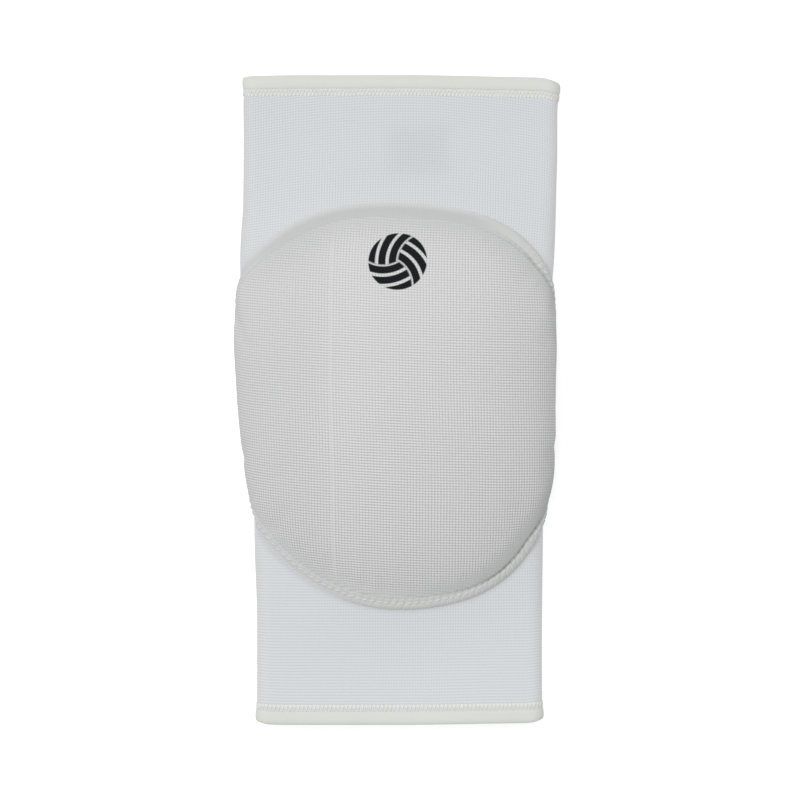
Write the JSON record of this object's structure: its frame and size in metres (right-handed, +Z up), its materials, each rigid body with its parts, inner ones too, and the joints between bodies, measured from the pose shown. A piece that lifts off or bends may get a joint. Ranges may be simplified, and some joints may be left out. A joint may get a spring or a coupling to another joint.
{
  "type": "volleyball knee pad",
  "caption": "Pull-on knit knee sleeve, flat at its open ends, with rolled hems and a thick egg-shaped cushion sewn to its front by a raised overlocked seam.",
  "frame": {"origin": "under the middle of the pad, on the surface that it lies on", "axes": "+X across the sleeve, to the right seen from the front of the knee; +Y towards the thigh end; +Z up, out of the front of the knee"},
  "size_m": [0.1252, 0.2498, 0.0414],
  "materials": {
    "sleeve_knit": "fine white elastic rib knit, matt",
    "cover_knit": "coarser white knit cover over foam, small bright loops over grey gaps",
    "hem_yarn": "smooth cream-white rolled hem with a row of stitches",
    "seam_thread": "off-white overlocked thread, slanted loops"
  },
  "bodies": {
    "root": {"knit_sleeve": "sleeve_knit", "thigh_hem": "hem_yarn", "calf_hem": "hem_yarn", "knee_cushion": "cover_knit", "cushion_seam": "seam_thread"}
  },
  "joints": []
}
